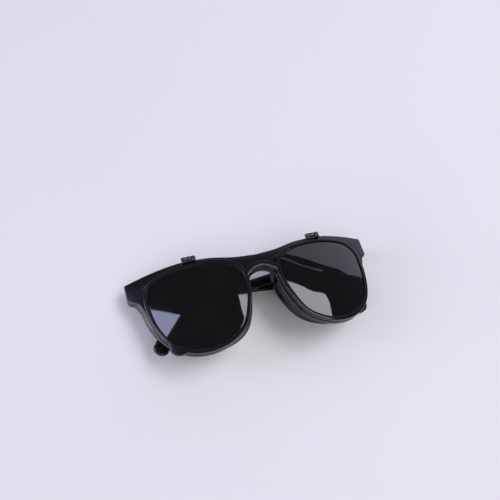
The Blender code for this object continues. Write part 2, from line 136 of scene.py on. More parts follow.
def smooth_between(places: Sequence[float], values: Sequence[float], at: np.ndarray) -> np.ndarray:
    """Values that ease in and out between places.

    Args:
        places: Where the values hold, in rising order.
        values: The value at each place.
        at: Where to read.

    Returns:
        The eased value at each place asked for, by the cubic 3t^2 - 2t^3.
    """
    span = np.clip(np.searchsorted(places, at, side="right") - 1, 0, len(places) - 2)
    low = np.asarray(places, float)[span]
    high = np.asarray(places, float)[span + 1]
    t = np.clip((at - low) / (high - low), 0.0, 1.0)
    ease = t * t * (3 - 2 * t)
    return np.asarray(values, float)[span] * (1 - ease) + np.asarray(values, float)[span + 1] * ease


# ---- meshes ------------------------------------------------------------------------------
@dataclass
class Shell:
    """Points in metres, faces and a wear value per point, gathered before they become a mesh."""

    points: list[np.ndarray] = field(default_factory=list)
    faces: list[list[int]] = field(default_factory=list)
    wear: list[np.ndarray] = field(default_factory=list)
    count: int = 0

    def add(self, points: np.ndarray, faces: Sequence[Sequence[int]], wear: np.ndarray) -> None:
        """Adds a patch.

        Args:
            points: The patch's points in metres, one per row.
            faces: Its faces, as rows of point numbers that count from the patch's first point.
            wear: How worn each point is, from 0 to 1.
        """
        self.faces.extend([[k + self.count for k in face] for face in faces])
        self.points.append(points)
        self.wear.append(wear)
        self.count += len(points)

    def add_grid(self, rows: np.ndarray, wear: np.ndarray, wrap_rows: bool = False,
                 capped: bool = True) -> None:
        """Adds a grid whose columns always wrap round.

        Args:
            rows: Points as rows x columns x 3, in metres.
            wear: Wear for each point, rows x columns, or for each column.
            wrap_rows: Whether the last row joins the first.
            capped: Whether the first and last rows are closed with a face, if rows don't wrap.
        """
        high, wide = rows.shape[:2]
        faces = grid_faces(high, wide, wrap_rows).tolist()
        if capped and not wrap_rows:
            faces.append(list(range(wide))[::-1])
            faces.append(list(range((high - 1) * wide, high * wide)))
        self.add(rows.reshape(-1, 3), faces, np.broadcast_to(wear, (high, wide)).reshape(-1))

    @classmethod
    def of_grid(cls, rows: np.ndarray, wear: np.ndarray, **how: bool) -> "Shell":
        """A shell of one grid, with add_grid's own options."""
        shell = cls()
        shell.add_grid(rows, wear, **how)
        return shell

    def facing_out(self, side: Side) -> "Shell":
        """Turns the faces round on the right side, where the points have been mirrored."""
        if side is Side.RIGHT:
            self.faces = [face[::-1] for face in self.faces]
        return self

    def for_side(self, side: Side) -> "Shell":
        """This left-hand shell, or its mirror image on the right side."""
        if side is Side.LEFT:
            return self
        other = Shell()
        other.add(np.concatenate(self.points) * [-1.0, 1.0, 1.0], self.faces, np.concatenate(self.wear))
        return other.facing_out(side)

    def joined(self, other: "Shell") -> "Shell":
        """This shell and another in one."""
        both = Shell()
        for shell in (self, other):
            both.add(np.concatenate(shell.points), shell.faces, np.concatenate(shell.wear))
        return both


def grid_faces(high: int, wide: int, wrap_rows: bool) -> np.ndarray:
    """Faces of a grid whose columns wrap round.

    Args:
        high: Number of rows.
        wide: Number of columns.
        wrap_rows: Whether the last row joins the first.

    Returns:
        Four point numbers a face: each face joins a point, the next in its row and the two above.
    """
    row = np.arange(high if wrap_rows else high - 1)[:, None]
    column = np.arange(wide)[None, :]
    above = (row + 1) % high
    beside = (column + 1) % wide
    corners = [row * wide + column, row * wide + beside, above * wide + beside, above * wide + column]
    return np.stack([np.broadcast_to(c, (len(row), wide)) for c in corners], axis=-1).reshape(-1, 4)


def gathered(patches: Sequence[np.ndarray], wear: float, side: Side) -> Shell:
    """One shell of several capped patches.

    Args:
        patches: Grids of points in metres, in place for the side.
        wear: How worn they all are.
        side: The side they are on.

    Returns:
        The shell, facing out.
    """
    shell = Shell()
    for rows in patches:
        shell.add_grid(rows, np.full((1, 1), wear))
    return shell.facing_out(side)


class Finish:
    """A finish that can be put on a piece. Each one builds its material once.

    Edges that turn by more than its sharp angle, in degrees, stay crisp.
    """

    slot = ""
    sharp = 50.0

    def build(self) -> bpy.types.Material:
        """The finish as a material."""
        raise NotImplementedError

    def material(self) -> bpy.types.Material:
        """The finish's material, made the first time it is asked for."""
        name = type(self).__name__
        return bpy.data.materials.get(name) or self.build()


def make_piece(name: str, shell: Shell, finish: Finish, body: str, replaces: Sequence[str] = ()) -> None:
    """Turns a shell into a finished piece that rides on a body.

    Args:
        name: The piece's name.
        shell: Its points, faces and wear.
        finish: What it is made of.
        body: The body that carries it.
        replaces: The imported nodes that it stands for.
    """
    mesh = bpy.data.meshes.new(name)
    mesh.from_pydata(np.concatenate(shell.points).tolist(), [], shell.faces)
    wear = mesh.attributes.new(WEAR, "FLOAT", "POINT")
    wear.data.foreach_set("value", np.concatenate(shell.wear).astype(np.float32))
    work = bmesh.new()
    work.from_mesh(mesh)
    bmesh.ops.remove_doubles(work, verts=work.verts, dist=SAME_PLACE)
    bmesh.ops.recalc_face_normals(work, faces=work.faces)
    work.to_mesh(mesh)
    work.free()
    mesh.shade_smooth()
    mesh.set_sharp_from_angle(angle=math.radians(finish.sharp))
    mesh.materials.append(finish.material())
    piece = bpy.data.objects.new(name, mesh)
    bpy.context.scene.collection.objects.link(piece)
    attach(piece, body)
    if replaces:
        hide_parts(*replaces)
    LOG.info("%s: %d faces on %s", name, len(mesh.polygons), body)


def corner_arcs(steps: int) -> tuple[np.ndarray, np.ndarray]:
    """The four quarter rounds of a rectangle's corners, anticlockwise.

    Args:
        steps: Points in each quarter round.

    Returns:
        The angle of each point, and the signs of the corner that it belongs to.
    """
    turn = (quarter(steps)[None, :] + math.pi / 2 * np.arange(4)[:, None]).reshape(-1)
    return turn, np.repeat([[1, 1], [-1, 1], [-1, -1], [1, -1]], steps, axis=0)


def round_section(half_wide: np.ndarray, half_high: np.ndarray, edge: np.ndarray,
                  steps: int = 6) -> np.ndarray:
    """A rectangle with round corners for each station of a path.

    Each corner is an arc of the edge's radius about the corner of a rectangle that is smaller
    by that radius.

    Args:
        half_wide: Half the width at each station.
        half_high: Half the height at each station.
        edge: The corner radius at each station.
        steps: Points in each corner.

    Returns:
        Stations x points x 2, anticlockwise.
    """
    turn, sign = corner_arcs(steps)
    half = np.stack(np.broadcast_arrays(half_wide, half_high), axis=-1)
    radius = np.broadcast_to(edge, half.shape[:-1])[:, None, None]
    return sign * (half[:, None, :] - radius) + radius * np.stack([np.cos(turn), np.sin(turn)], axis=1)


def section_wear(steps: int = 6) -> np.ndarray:
    """Wear for the points of a round section: most in the middle of each corner."""
    return np.tile(np.sin(2 * quarter(steps)), 4)


def ring_curve(controls: np.ndarray, count: int) -> np.ndarray:
    """Smooth closed rings through control points, one ring for each station.

    Each span is the cubic whose end slopes are half the step between the points on either side.

    Args:
        controls: Stations x controls x 3.
        count: Points in each smooth ring.

    Returns:
        Stations x count x 3.
    """
    wide = controls.shape[1]
    place = np.arange(count) / count * wide
    span = place.astype(int)
    t = (place - span)[None, :, None]
    p0, p1, p2, p3 = (controls[:, (span + k) % wide] for k in (-1, 0, 1, 2))
    return 0.5 * (2 * p1 + (p2 - p0) * t + (2 * p0 - 5 * p1 + 4 * p2 - p3) * t ** 2
                  + (3 * p1 - p0 - 3 * p2 + p3) * t ** 3)


def rounded_block(centre: Sequence[float], half: Sequence[float], radius: float,
                  steps: int = 4) -> np.ndarray:
    """A block with round edges, as rows of points.

    The block is a smaller one grown by a ball: each row's corners are arcs about the smaller
    block's corners, drawn in and out by the ball's cosine as the row climbs by its sine.

    Args:
        centre: Its middle.
        half: Half its size along each axis.
        radius: The ball's radius.
        steps: Points in each quarter round.

    Returns:
        Rows x columns x 3 in the units given; the end rows are flat and want a cap.
    """
    climb = np.concatenate([-quarter(steps)[::-1], quarter(steps)])
    turn, sign = corner_arcs(steps)
    core = np.asarray(half, float) - radius
    x = sign[:, 0] * core[0] + radius * np.cos(climb)[:, None] * np.cos(turn)
    y = sign[:, 1] * core[1] + radius * np.cos(climb)[:, None] * np.sin(turn)
    z = np.repeat([-core[2], core[2]], steps) + radius * np.sin(climb)
    return np.stack([x, y, np.broadcast_to(z[:, None], x.shape)], axis=-1) + np.asarray(centre, float)


def turned_bar(centre: Sequence[float], along: int, half: float, radius: float, edge: float,
               columns: int = 32, steps: int = 4) -> np.ndarray:
    """A round bar with softened ends, as rows of points.

    The outline climbs a quarter round at each end and is spun about the bar's axis.

    Args:
        centre: Its middle.
        along: The axis it lies on, 0 for X or 1 for Y.
        half: Half its length.
        radius: Its radius.
        edge: The radius of the quarter rounds.
        columns: Points round the bar.
        steps: Points in each quarter round.

    Returns:
        Rows x columns x 3 in the units given; the end rows are flat and want a cap.
    """
    turn = quarter(steps)
    place = half - edge + edge * np.cos(turn)
    place = np.concatenate([-place, place[::-1]])
    reach = radius - edge + edge * np.sin(turn)
    reach = np.concatenate([reach, reach[::-1]])
    spin = np.linspace(0, 2 * math.pi, columns, endpoint=False)
    rows = np.zeros((len(place), columns, 3))
    others = [k for k in range(3) if k != along]
    rows[..., along] = place[:, None]
    rows[..., others[0]] = reach[:, None] * np.cos(spin)
    rows[..., others[1]] = reach[:, None] * np.sin(spin)
    return rows + np.asarray(centre, float)


# ---- layout of the fronts ----------------------------------------------------------------
def joint(name: str) -> dict:
    """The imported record's joint of that name."""
    return next(j for j in frame["joints"] if j["name"] == name)


@dataclass(frozen=True)
class Layout:
    """Sizes that both fronts share, in millimetres, and how the flat layout is bent."""

    wrap_radius: float = 156.0
    lens_width: float = 52.0
    lens_height: float = 46.7
    bridge_gap: float = 20.8
    lens_drop: float = 25.45
    flip_axis_rise: float = 2.6
    flip_thickness: float = 2.6
    layer_gap: float = 0.4
    frame_thickness: float = 3.9
    fit_gap: float = 0.3
    samples: int = 288
    opening: Outline = (
        (1.00, 0.33), (0.98, 0.67), (0.78, 0.905), (0.02, 1.0), (-0.68, 0.85), (-0.93, 0.67), (-1.0, 0.33),
        (-0.90, -0.22), (-0.67, -0.71), (-0.22, -0.98), (0.27, -0.96), (0.68, -0.67), (0.91, -0.20))

    @property
    def half_width(self) -> float:
        """Half the width across the end pieces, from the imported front."""
        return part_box("front_frame")[1].x / MM

    @property
    def crest(self) -> float:
        """Height of the foremost line of the flip-up front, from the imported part."""
        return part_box("flip_frame")[1].z / MM

    @property
    def brow_line(self) -> float:
        """Where v is nothing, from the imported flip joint."""
        return joint("flip_up")["pos_m"][1] / MM - self.flip_axis_rise

    @property
    def lens_middle(self) -> np.ndarray:
        """The middle of the left opening in the flat layout."""
        return np.array([(self.bridge_gap + self.lens_width) / 2, -self.lens_drop])

    @property
    def front_depth(self) -> float:
        """Depth of the main front's face."""
        return self.flip_thickness + self.layer_gap

    @property
    def back_depth(self) -> float:
        """Depth of the main front's back."""
        return self.front_depth + self.frame_thickness

    def bent(self, x: np.ndarray, v: np.ndarray, depth: np.ndarray | float) -> np.ndarray:
        """Bends the flat layout into place.

        Depth falls behind the crest, and so does the square of x over twice the wrap radius.

        Args:
            x: Places across.
            v: Places up from the top corners.
            depth: Depth behind the crest, one value or one for each place.

        Returns:
            Points in metres, with x, y and z last.
        """
        z = self.crest - depth - x * x / (2 * self.wrap_radius)
        return np.stack(np.broadcast_arrays(x, v + self.brow_line, z), axis=-1) * MM

    def eye(self) -> np.ndarray:
        """The left opening's edge about its own middle, anticlockwise from the temple side."""
        size = np.array([self.lens_width / 2, self.lens_height / 2])
        return curve_through(np.array(self.opening) * size, self.samples, True)

    def grown(self, reach: np.ndarray | float) -> np.ndarray:
        """The left opening's edge about its own middle, moved outwards along its normals.

        Args:
            reach: How far, one value or one for each sample.

        Returns:
            The moved loop.
        """
        loop = self.eye()
        return loop + right_hand_normals(loop) * np.broadcast_to(reach, len(loop))[:, None]


def at_angle(loop: np.ndarray, degrees: np.ndarray, values: np.ndarray | None = None) -> np.ndarray:
    """Points of a loop about the origin, or values held along it, read by their angle.

    Args:
        loop: An anticlockwise loop, one point per row.
        degrees: The angles asked for, of any size.
        values: What to read, one row for each point of the loop. The points themselves if left out.

    Returns:
        One row for each angle, between the samples on either side.
    """
    angle = np.degrees(np.unwrap(np.arctan2(loop[:, 1], loop[:, 0])))
    angle = np.concatenate([angle, [angle[0] + 360]])
    values = loop if values is None else values
    ring = np.concatenate([values, values[:1]])
    wanted = (degrees - angle[0]) % 360 + angle[0]
    return np.stack([np.interp(wanted, angle, ring[:, k]) for k in (0, 1)], axis=1)


@dataclass(frozen=True)
class Edging:
    """How a moulded plate turns from its face to its walls, in millimetres."""

    outer: float = 0.7
    inner: float = 0.4
    across: int = 14
    round_steps: int = 5
    crown: float = 0.0

    def rows(self, inner: np.ndarray, outer: np.ndarray, inward: np.ndarray, outward: np.ndarray,
             free: np.ndarray, near: float, far: float, layout: Layout,
             lowered: np.ndarray | None = None) -> tuple[np.ndarray, np.ndarray]:
        """A plate between an inner and an outer loop, as a profile carried round both.

        The profile runs over the face from the inner edge to the outer one, round the outer
        edge, down the wall, back under and up the inner wall. Every turn is a quarter round. A
        point of the face is a mean of the two loops, weighted by how far across it is.

        Args:
            inner: The inner loop in the flat layout.
            outer: The outer loop, point for point.
            inward: Unit normals of the inner loop, into the plate.
            outward: Unit normals of the outer loop, out of the plate.
            free: 1 where the outer loop is a real edge, 0 where it only meets the other half.
            near: Depth of the face.
            far: Depth of the back.
            layout: How to bend it.
            lowered: How far the face falls away at its outer edge, by the square of the way across.

        Returns:
            Points as samples x profile x 3 in metres, and the wear of each.
        """
        flat = np.linspace(0, 1, self.across)
        rise = quarter(self.round_steps)[1:]
        fall = rise[::-1]
        share = np.concatenate([flat, 1 + 0 * rise, 1 + 0 * fall, flat[::-1], 0 * rise, 0 * fall])
        turn = np.concatenate([0 * flat, rise, fall, 0 * flat, rise, fall])
        lengths = [len(flat), len(rise), len(fall), len(flat), len(rise), len(fall)]
        in_front = np.repeat([True, True, False, False, False, True], lengths)
        drawn = 1 - np.sin(turn)[None, :, None]
        a = share[None, :, None]
        loose = free[:, None, None]
        place = (1 - a) * (inner[:, None] + inward[:, None] * self.inner * drawn)
        place = place + a * (outer[:, None] - outward[:, None] * self.outer * drawn * loose)
        radius = self.inner * (1 - share) + self.outer * share * free[:, None]
        sunk = radius * (1 - np.cos(turn))
        bulge = self.crown * np.sin(math.pi * share) * in_front
        slant = 0.0 if lowered is None else lowered[:, None] * share ** 2
        depth = np.where(in_front, near + slant + sunk - bulge, far - sunk)
        wear = np.sin(2 * turn) * np.where(share > 0, free[:, None], 1.0)
        return layout.bent(place[..., 0], place[..., 1], depth), wear


@dataclass(frozen=True)
class FlipFront:
    """The flip-up front: two thin rims with a thumb tab on one, and the arch that joins them."""

    layout: Layout
    finish: Finish
    rim: float = 2.1
    arch_top: float = 8.8
    arch_height: float = 3.2
    arch_fall_top: float = 3.5
    arch_fall_bottom: float = 5.3
    arch_reach: float = 9.4
    arch_overrun: float = 1.03
    arch_sink: float = 0.05
    arch_stations: int = 61
    tab_reach: float = 2.6
    tab_angle: float = 312.0
    tab_half_span: float = 12.0
    tab_fullness: float = 0.8
    edging: Edging = Edging(outer=0.42, inner=0.32, across=4)

    def rim_shell(self, side: Side) -> Shell:
        """One rim: the profile of a plate carried round the opening.

        The thumb tab grows the outer loop by a power of the cosine of its distance in angle.
        """
        eye = self.layout.eye()
        angle = np.degrees(np.arctan2(eye[:, 1], eye[:, 0]))
        away = np.abs((angle - self.tab_angle + 180) % 360 - 180) / self.tab_half_span
        bump = np.cos(np.clip(away, 0, 1) * math.pi / 2) ** self.tab_fullness * self.tab_reach
        reach = self.rim + (bump if side is Side.RIGHT else 0.0)
        middle = self.layout.lens_middle
        normals = right_hand_normals(eye)
        outer = self.layout.grown(reach)
        points, wear = self.edging.rows(eye + middle, outer + middle, normals, right_hand_normals(outer),
                                        np.ones(len(eye)), 0.0, self.layout.flip_thickness, self.layout)
        return Shell.of_grid(points, wear, wrap_rows=True).for_side(side)

    def arch_shell(self) -> Shell:
        """The arch: a round-edged section carried across, whose edges fall by the square of x."""
        x = np.linspace(-1, 1, self.arch_stations) * self.arch_reach * self.arch_overrun
        scale = (x / self.arch_reach) ** 2
        top = -self.arch_top - self.arch_fall_top * scale
        low = -self.arch_top - self.arch_height - self.arch_fall_bottom * scale
        half_deep = self.layout.flip_thickness / 2 - self.arch_sink
        section = round_section(half_deep + 0 * x, (top - low) / 2, self.edging.outer)
        depth = self.layout.flip_thickness / 2 + section[..., 0]
        v = (top + low)[:, None] / 2 + section[..., 1]
        return Shell.of_grid(self.layout.bent(x[:, None], v, depth), section_wear())

    def build(self) -> None:
        """Makes the two rims and the arch."""
        for side, nodes in ((Side.LEFT, ["flip_frame"]), (Side.RIGHT, [])):
            make_piece(f"flip_rim_{side.word}", self.rim_shell(side), self.finish, "flip", nodes)
        make_piece("flip_arch", self.arch_shell(), self.finish, "flip")


@dataclass(frozen=True)
class MainFront:
    """The main front: brow, end pieces with their arms, rims, nose arch and moulded nose pads."""

    layout: Layout
    finish: Finish
    rim_side: float = 4.2
    rim_side_taper: float = 0.65
    rim_bottom: float = 2.1
    rim_nose: float = 2.8
    nose_arch_crest: float = 12.4
    brow_centre: float = 3.1
    brow_crest: float = 3.3
    brow: Outline = (
        (0.0, 0.0), (0.165, 0.19), (0.358, 0.70), (0.579, 1.0), (0.80, 0.92), (0.992, 0.70))
    end_piece: Outline = (
        (0.6, 1.4), (0.1, 1.1), (0.0, 0.3), (0.1, -4.0), (0.2, -8.2), (0.5, -9.5), (1.7, -10.8), (3.6, -12.0))
    end_angle: float = 14.0
    side_fall: float = 0.5
    side_fall_span: tuple[float, ...] = (-110.0, -70.0, -8.0, 15.0)
    arch_angle: float = 166.0
    arch_lean: float = 10.0
    arm_thickness: float = 3.8
    arm_height: float = 9.7
    arm_edge: float = 0.7
    arm_inset: float = 0.05
    arm_drop: float = 0.15
    arm_steps: int = 5
    pad_depth: float = 6.0
    pad_flare: float = 1.7
    pad_span: tuple[float, float] = (142.0, 256.0)
    pad_lead: float = 0.68
    pad_inset: float = 0.2
    pad_hollow: float = 0.25
    pad_crest_share: float = 0.2
    pad_back_share: float = 0.55
    pad_end_share: float = 0.01
    pad_rises: tuple[float, ...] = (0.0, 0.0, 0.45, 0.85, 1.0, 1.0, 0.6)
    pad_stations: int = 64
    pad_columns: int = 36
    brow_points: int = 76
    corner_points: int = 44
    rim_points: int = 210
    arch_points: int = 30
    line_points: int = 12
    edging: Edging = Edging(outer=0.60, inner=0.4, across=16, crown=0.25)

    def rim_reach(self) -> np.ndarray:
        """Width of the rim at each sample of the opening, by the slant of its normal.

        Underneath it goes by the square of the normal's v, and at the sides by the square of its
        x; the temple side narrows downwards.
        """
        x, v = right_hand_normals(self.layout.eye()).T
        temple_side = self.rim_side * (1 + self.rim_side_taper * np.minimum(v, 0))
        return self.rim_bottom * v * v + np.where(x > 0, temple_side, self.rim_nose) * x * x

    def outline(self) -> tuple[np.ndarray, np.ndarray, np.ndarray]:
        """The left half's outline, anticlockwise.

        It is gathered clockwise from the brow's middle: the brow, the end piece, the rim, the nose
        arch as a quarter ellipse that ends on the middle line, and that line. Then it is reversed.

        Returns:
            Its points in the flat layout, the angle of the opening that each belongs to, and 1
            for a real edge or 0 on the middle line.
        """
        middle = self.layout.lens_middle
        half = self.layout.half_width
        brow = np.array(self.brow) * [half, self.brow_crest + self.brow_centre] - [0, self.brow_centre]
        brow = curve_through(brow, self.brow_points, False)
        corner = np.array([half, 0]) + np.array(self.end_piece) * [-1, 1]
        corner = curve_through(corner, self.corner_points, False)
        upper = np.concatenate([brow[:-1], corner])
        upper_angle = np.degrees(np.arctan2(*(upper - middle).T[::-1]))
        rim_angle = np.linspace(self.end_angle, self.arch_angle - 360, self.rim_points)
        rim = at_angle(self.layout.grown(self.rim_reach()), rim_angle) + middle
        turn = quarter(self.arch_points)[1:]
        arch = np.stack([rim[-1, 0] * np.cos(turn),
                         rim[-1, 1] + (-self.nose_arch_crest - rim[-1, 1]) * np.sin(turn)], axis=1)
        apex_angle = self.arch_angle - self.arch_lean - 360
        arch_angle = np.linspace(rim_angle[-1], apex_angle, len(arch) + 1)[1:]
        climb = np.linspace(-self.nose_arch_crest, -self.brow_centre, self.line_points)[1:-1]
        line = np.stack([0 * climb, climb], axis=1)
        line_angle = np.linspace(apex_angle, upper_angle[0] - 360, self.line_points)[1:-1]
        points = np.concatenate([upper, rim, arch, line])
        points[len(upper) + len(rim) + len(arch) - 1, 0] = 0.0
        angle = np.concatenate([upper_angle, rim_angle, arch_angle, line_angle])
        free = np.concatenate([np.ones(len(points) - len(line)), np.zeros(len(line))])
        return points[::-1], angle[::-1], free[::-1]

    def half_shell(self) -> Shell:
        """The left half: a plate between the opening and the outline, open along the middle line.

        The normals of the arch's apex and the brow's middle are set upright, so that the two
        halves meet there.
        """
        layout = self.layout
        outer, angle, free = self.outline()
        eye = layout.grown(layout.fit_gap)
        inner = at_angle(eye, angle) + layout.lens_middle
        inward = at_angle(eye, angle, right_hand_normals(eye))
        outward = right_hand_normals(outer)
        on_line = (outer[:, 0] < SAME_PLACE / MM) & (free > 0)
        upright = np.where(outer[:, 1] > -(self.nose_arch_crest + self.brow_centre) / 2, 1.0, -1.0)
        outward = np.where(on_line[:, None], np.stack([0 * upright, upright], axis=1), outward)
        turned = (angle + 180) % 360 - 180
        fall = self.side_fall * smooth_between(self.side_fall_span, (0.0, 1.0, 1.0, 0.0), turned)
        points, wear = self.edging.rows(inner, outer, inward, outward, free, layout.front_depth,
                                        layout.back_depth, layout, fall)
        shell = Shell.of_grid(points, wear, wrap_rows=True)
        across = np.abs(points[..., 0]).reshape(-1)
        shell.faces = [face for face in shell.faces if across[face].max() > SAME_PLACE]
        return shell

    def pad_shell(self) -> Shell:
        """The left nose pad: a wall on the nose side of the rim that swells and sinks along it.

        Its rise is the sine of its share of the span, with the share raised to a power below one
        so that it stands out most near the top. It spreads as it rises.
        """
        layout = self.layout
        first, last = self.pad_span
        share = np.linspace(self.pad_end_share, 1 - self.pad_end_share, self.pad_stations)
        angle = first + (last - first) * share
        near = at_angle(layout.grown(2 * layout.fit_gap), angle) + layout.lens_middle
        far = at_angle(layout.grown(self.rim_reach()), angle) + layout.lens_middle
        swell = np.sin(math.pi * share ** self.pad_lead)[:, None]
        rim = far - near
        out = rim / np.linalg.norm(rim, axis=1)[:, None]
        edge = far - out * self.pad_inset
        flare = out * self.pad_flare * swell
        back = edge + flare
        place = np.stack([near, edge, edge + flare * self.pad_hollow, back, back - rim * self.pad_crest_share,
                          back - rim * self.pad_back_share, near], axis=1)
        rise = layout.fit_gap + self.pad_depth * swell
        depth = layout.back_depth - 2 * layout.fit_gap + rise * np.array(self.pad_rises)
        rings = ring_curve(layout.bent(place[..., 0], place[..., 1], depth), self.pad_columns)
        return Shell.of_grid(rings, np.zeros(self.pad_columns))

    def arm_shell(self) -> Shell:
        """The left arm: a round-edged block from the corner of the front back to the temple."""
        layout = self.layout
        low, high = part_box("front_frame")
        x = high.x / MM - self.arm_thickness / 2 - self.arm_inset
        face = layout.crest - layout.front_depth - layout.half_width ** 2 / (2 * layout.wrap_radius)
        top = face - layout.fit_gap
        bottom = low.z / MM
        middle = layout.brow_line + self.end_piece[0][1] - self.arm_height / 2 - self.arm_drop
        half = (self.arm_thickness / 2, self.arm_height / 2, (top - bottom) / 2)
        rows = rounded_block((x, middle, (top + bottom) / 2), half, self.arm_edge, self.arm_steps)
        return Shell.of_grid(rows * MM, section_wear(self.arm_steps))

    def build(self) -> None:
        """Makes the plate, the pads and the arms."""
        half = self.half_shell()
        whole = half.joined(half.for_side(Side.RIGHT))
        make_piece("front_shell", whole, self.finish, "root", ["front_frame"])
        for side in Side:
            make_piece(f"nose_pad_{side.word}", self.pad_shell().for_side(side), self.finish, "root")
            make_piece(f"end_arm_{side.word}", self.arm_shell().for_side(side), self.finish, "root")


@dataclass(frozen=True)
class LensPair:
    """A left and a right lens, domed a little and bent with the front."""

    layout: Layout
    finish: Finish
    name: str
    body: str
    front: float
    thickness: float
    reach: float
    dome: float = 1.6
    edge: float = 0.25
    edge_steps: int = 4
    face_share: float = 0.985
    rings: int = 44

    def shell(self) -> Shell:
        """The left lens: a radial profile carried round the opening.

        Both faces rise towards the middle by the dome times one less the square of the share of
        the way out, and a quarter round joins each face to the rim.
        """
        layout = self.layout
        turn = quarter(self.edge_steps)
        face = np.linspace(0, self.face_share, self.rings)
        rising = self.edge * (1 - np.sin(turn))
        falling = self.edge * (1 - np.cos(turn))
        out = np.concatenate([face, np.ones(2 * self.edge_steps), face[::-1]])
        drawn = np.concatenate([0 * face, rising, falling, 0 * face])
        deep = np.concatenate([0 * face, falling, self.thickness - rising, 0 * face + self.thickness])
        eye = layout.grown(self.reach)
        flat = out[:, None, None] * eye[None]
        flat = flat - right_hand_normals(eye)[None] * drawn[:, None, None] + layout.lens_middle
        depth = self.front + deep - self.dome * (1 - out ** 2)
        points = layout.bent(flat[..., 0], flat[..., 1], depth[:, None])
        return Shell.of_grid(points, np.zeros(layout.samples), capped=False)

    def build(self) -> None:
        """Makes both lenses."""
        for side in Side:
            make_piece(f"{self.name}_glaze_{side.word}", self.shell().for_side(side), self.finish, self.body,
                       [f"{self.name}_{side.word}"])


